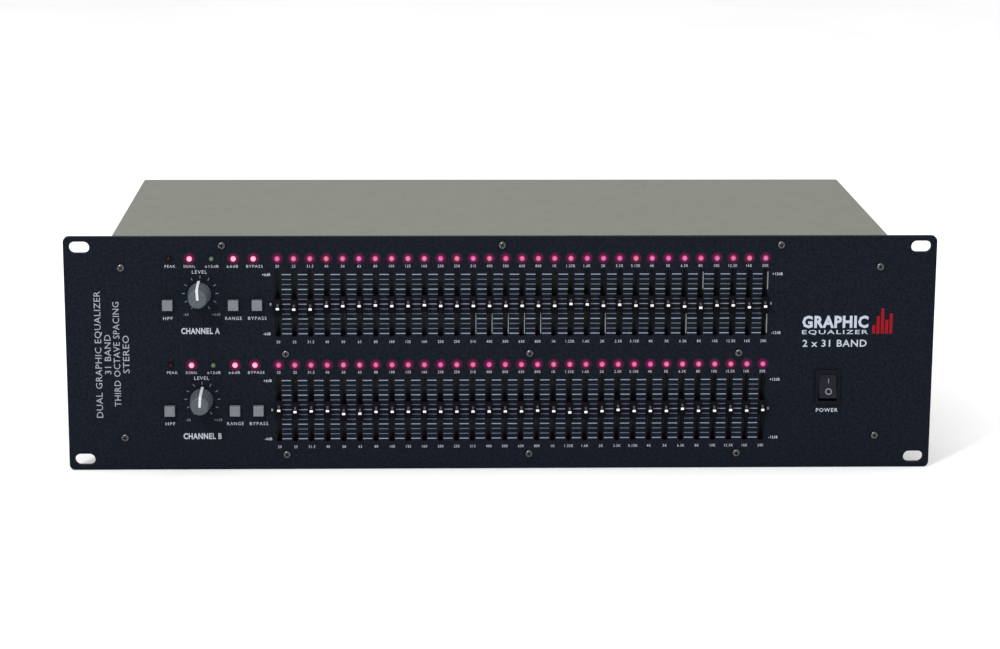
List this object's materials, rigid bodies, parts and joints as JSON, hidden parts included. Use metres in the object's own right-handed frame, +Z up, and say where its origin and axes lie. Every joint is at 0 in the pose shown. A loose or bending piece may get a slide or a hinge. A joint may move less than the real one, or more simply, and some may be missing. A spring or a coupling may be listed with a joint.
{
  "type": "graphic equalizer",
  "caption": "Rack-mounted two-channel graphic equalizer with rows of vertical band sliders, level knobs, push buttons, lamps and a power rocker.",
  "frame": {"origin": "middle of the bounding box's bottom face", "axes": "+X to the right seen from the front, +Y back into the rack, +Z up"},
  "size_m": [0.4826, 0.22, 0.1325],
  "materials": {
    "panel_black": "satin black paint",
    "case_grey": "matt grey paint on sheet steel",
    "board_green": "solder mask",
    "plated_steel": "bright plating",
    "lamp_red": "lit red lens",
    "lamp_mixed": "red and green lenses",
    "moulded_black": "moulded",
    "capacitor_sleeve": "shrink sleeve",
    "core_steel": "varnished laminations",
    "coil_tape": "winding tape",
    "socket_metal": "nickel plate",
    "socket_black": "moulded",
    "lead_grey": "insulation",
    "screw_black": "black plated",
    "knob_grey": "moulded",
    "rocker_black": "moulded",
    "cap_black": "moulded",
    "button_white": "moulded"
  },
  "bodies": {
    "chassis": {"front_panel": "panel_black", "chassis_tray": "case_grey", "top_cover": "case_grey", "slider_boards": "board_green", "slide_pot_frames": "plated_steel", "band_leds": "lamp_red", "status_leds": "lamp_mixed", "level_pots": "plated_steel", "button_switches": "moulded_black", "power_switch_housing": "moulded_black", "main_board": "board_green", "signal_chips": "moulded_black", "power_parts": "capacitor_sleeve", "transformer_core": "core_steel", "transformer_coil": "coil_tape", "power_inlet": "moulded_black", "xlr_sockets": "socket_metal", "jack_sockets": "socket_black", "wiring_looms": "lead_grey", "screws_and_standoffs": "screw_black"},
    "level_knob_a": {"level_knob_a": "knob_grey"},
    "level_knob_b": {"level_knob_b": "knob_grey"},
    "hpf_button_a": {"hpf_button_a": "button_white"},
    "range_button_a": {"range_button_a": "button_white"},
    "bypass_button_a": {"bypass_button_a": "button_white"},
    "hpf_button_b": {"hpf_button_b": "button_white"},
    "range_button_b": {"range_button_b": "button_white"},
    "bypass_button_b": {"bypass_button_b": "button_white"},
    "power_rocker": {"power_rocker": "rocker_black"},
    "slider_20hz": {"slider_20hz": "cap_black"},
    "slider_25hz": {"slider_25hz": "cap_black"},
    "slider_31_5hz": {"slider_31_5hz": "cap_black"},
    "slider_40hz": {"slider_40hz": "cap_black"},
    "slider_50hz": {"slider_50hz": "cap_black"},
    "slider_63hz": {"slider_63hz": "cap_black"},
    "slider_80hz": {"slider_80hz": "cap_black"},
    "slider_100hz": {"slider_100hz": "cap_black"},
    "slider_125hz": {"slider_125hz": "cap_black"},
    "slider_160hz": {"slider_160hz": "cap_black"},
    "slider_200hz": {"slider_200hz": "cap_black"},
    "slider_250hz": {"slider_250hz": "cap_black"},
    "slider_315hz": {"slider_315hz": "cap_black"},
    "slider_400hz": {"slider_400hz": "cap_black"},
    "slider_500hz": {"slider_500hz": "cap_black"},
    "slider_630hz": {"slider_630hz": "cap_black"},
    "slider_800hz": {"slider_800hz": "cap_black"},
    "slider_1khz": {"slider_1khz": "cap_black"},
    "slider_1_25khz": {"slider_1_25khz": "cap_black"},
    "slider_1_6khz": {"slider_1_6khz": "cap_black"},
    "slider_2khz": {"slider_2khz": "cap_black"},
    "slider_2_5khz": {"slider_2_5khz": "cap_black"},
    "slider_3_15khz": {"slider_3_15khz": "cap_black"},
    "slider_4khz": {"slider_4khz": "cap_black"},
    "slider_5khz": {"slider_5khz": "cap_black"},
    "slider_6_3khz": {"slider_6_3khz": "cap_black"},
    "slider_8khz": {"slider_8khz": "cap_black"},
    "slider_10khz": {"slider_10khz": "cap_black"},
    "slider_12_5khz": {"slider_12_5khz": "cap_black"},
    "slider_16khz": {"slider_16khz": "cap_black"},
    "slider_20khz": {"slider_20khz": "cap_black"}
  },
  "joints": [
    {"name": "level_a_turn", "type": "hinge", "parent": "chassis", "child": "level_knob_a", "pos_m": [-0.1669, -0.093, 0.1007], "axis": [0, 1, 0], "range_deg": [-150, 150]},
    {"name": "level_b_turn", "type": "hinge", "parent": "chassis", "child": "level_knob_b", "pos_m": [-0.1669, -0.093, 0.04045], "axis": [0, 1, 0], "range_deg": [-150, 150]},
    {"name": "hpf_a_press", "type": "slide", "parent": "chassis", "child": "hpf_button_a", "axis": [0, 1, 0], "range_m": [0, 0.0025], "stiffness_N_per_m": 500, "springref_m": -0.001},
    {"name": "range_a_press", "type": "slide", "parent": "chassis", "child": "range_button_a", "axis": [0, 1, 0], "range_m": [0, 0.0025], "stiffness_N_per_m": 500, "springref_m": -0.001},
    {"name": "bypass_a_press", "type": "slide", "parent": "chassis", "child": "bypass_button_a", "axis": [0, 1, 0], "range_m": [0, 0.0025], "stiffness_N_per_m": 500, "springref_m": -0.001},
    {"name": "hpf_b_press", "type": "slide", "parent": "chassis", "child": "hpf_button_b", "axis": [0, 1, 0], "range_m": [0, 0.0025], "stiffness_N_per_m": 500, "springref_m": -0.001},
    {"name": "range_b_press", "type": "slide", "parent": "chassis", "child": "range_button_b", "axis": [0, 1, 0], "range_m": [0, 0.0025], "stiffness_N_per_m": 500, "springref_m": -0.001},
    {"name": "bypass_b_press", "type": "slide", "parent": "chassis", "child": "bypass_button_b", "axis": [0, 1, 0], "range_m": [0, 0.0025], "stiffness_N_per_m": 500, "springref_m": -0.001},
    {"name": "power_rock", "type": "hinge", "parent": "chassis", "child": "power_rocker", "pos_m": [0.1827, -0.0906, 0.0465], "axis": [1, 0, 0], "range_deg": [0, 22]},
    {"name": "band_20hz_slide", "type": "slide", "parent": "chassis", "child": "slider_20hz", "axis": [0, 0, 1], "range_m": [-0.01515, 0.01595]},
    {"name": "band_25hz_slide", "type": "slide", "parent": "chassis", "child": "slider_25hz", "axis": [0, 0, 1], "range_m": [-0.01485, 0.01675]},
    {"name": "band_31_5hz_slide", "type": "slide", "parent": "chassis", "child": "slider_31_5hz", "axis": [0, 0, 1], "range_m": [-0.01495, 0.01635]},
    {"name": "band_40hz_slide", "type": "slide", "parent": "chassis", "child": "slider_40hz", "axis": [0, 0, 1], "range_m": [-0.01675, 0.01625]},
    {"name": "band_50hz_slide", "type": "slide", "parent": "chassis", "child": "slider_50hz", "axis": [0, 0, 1], "range_m": [-0.01555, 0.01675]},
    {"name": "band_63hz_slide", "type": "slide", "parent": "chassis", "child": "slider_63hz", "axis": [0, 0, 1], "range_m": [-0.01575, 0.01675]},
    {"name": "band_80hz_slide", "type": "slide", "parent": "chassis", "child": "slider_80hz", "axis": [0, 0, 1], "range_m": [-0.01675, 0.01635]},
    {"name": "band_100hz_slide", "type": "slide", "parent": "chassis", "child": "slider_100hz", "axis": [0, 0, 1], "range_m": [-0.01675, 0.01675]},
    {"name": "band_125hz_slide", "type": "slide", "parent": "chassis", "child": "slider_125hz", "axis": [0, 0, 1], "range_m": [-0.01675, 0.01675]},
    {"name": "band_160hz_slide", "type": "slide", "parent": "chassis", "child": "slider_160hz", "axis": [0, 0, 1], "range_m": [-0.01675, 0.01625]},
    {"name": "band_200hz_slide", "type": "slide", "parent": "chassis", "child": "slider_200hz", "axis": [0, 0, 1], "range_m": [-0.01675, 0.01675]},
    {"name": "band_250hz_slide", "type": "slide", "parent": "chassis", "child": "slider_250hz", "axis": [0, 0, 1], "range_m": [-0.01675, 0.01675]},
    {"name": "band_315hz_slide", "type": "slide", "parent": "chassis", "child": "slider_315hz", "axis": [0, 0, 1], "range_m": [-0.01675, 0.01675]},
    {"name": "band_400hz_slide", "type": "slide", "parent": "chassis", "child": "slider_400hz", "axis": [0, 0, 1], "range_m": [-0.01675, 0.01675]},
    {"name": "band_500hz_slide", "type": "slide", "parent": "chassis", "child": "slider_500hz", "axis": [0, 0, 1], "range_m": [-0.01675, 0.01675]},
    {"name": "band_630hz_slide", "type": "slide", "parent": "chassis", "child": "slider_630hz", "axis": [0, 0, 1], "range_m": [-0.01675, 0.01675]},
    {"name": "band_800hz_slide", "type": "slide", "parent": "chassis", "child": "slider_800hz", "axis": [0, 0, 1], "range_m": [-0.01675, 0.01635]},
    {"name": "band_1khz_slide", "type": "slide", "parent": "chassis", "child": "slider_1khz", "axis": [0, 0, 1], "range_m": [-0.01675, 0.01675]},
    {"name": "band_1_25khz_slide", "type": "slide", "parent": "chassis", "child": "slider_1_25khz", "axis": [0, 0, 1], "range_m": [-0.01605, 0.01575]},
    {"name": "band_1_6khz_slide", "type": "slide", "parent": "chassis", "child": "slider_1_6khz", "axis": [0, 0, 1], "range_m": [-0.01625, 0.01605]},
    {"name": "band_2khz_slide", "type": "slide", "parent": "chassis", "child": "slider_2khz", "axis": [0, 0, 1], "range_m": [-0.01675, 0.01675]},
    {"name": "band_2_5khz_slide", "type": "slide", "parent": "chassis", "child": "slider_2_5khz", "axis": [0, 0, 1], "range_m": [-0.01675, 0.01605]},
    {"name": "band_3_15khz_slide", "type": "slide", "parent": "chassis", "child": "slider_3_15khz", "axis": [0, 0, 1], "range_m": [-0.01675, 0.01675]},
    {"name": "band_4khz_slide", "type": "slide", "parent": "chassis", "child": "slider_4khz", "axis": [0, 0, 1], "range_m": [-0.01675, 0.01675]},
    {"name": "band_5khz_slide", "type": "slide", "parent": "chassis", "child": "slider_5khz", "axis": [0, 0, 1], "range_m": [-0.01675, 0.01675]},
    {"name": "band_6_3khz_slide", "type": "slide", "parent": "chassis", "child": "slider_6_3khz", "axis": [0, 0, 1], "range_m": [-0.01615, 0.01555]},
    {"name": "band_8khz_slide", "type": "slide", "parent": "chassis", "child": "slider_8khz", "axis": [0, 0, 1], "range_m": [-0.01545, 0.01675]},
    {"name": "band_10khz_slide", "type": "slide", "parent": "chassis", "child": "slider_10khz", "axis": [0, 0, 1], "range_m": [-0.01675, 0.01675]},
    {"name": "band_12_5khz_slide", "type": "slide", "parent": "chassis", "child": "slider_12_5khz", "axis": [0, 0, 1], "range_m": [-0.01675, 0.01635]},
    {"name": "band_16khz_slide", "type": "slide", "parent": "chassis", "child": "slider_16khz", "axis": [0, 0, 1], "range_m": [-0.01565, 0.01675]},
    {"name": "band_20khz_slide", "type": "slide", "parent": "chassis", "child": "slider_20khz", "axis": [0, 0, 1], "range_m": [-0.01605, 0.01635]}
  ]
}
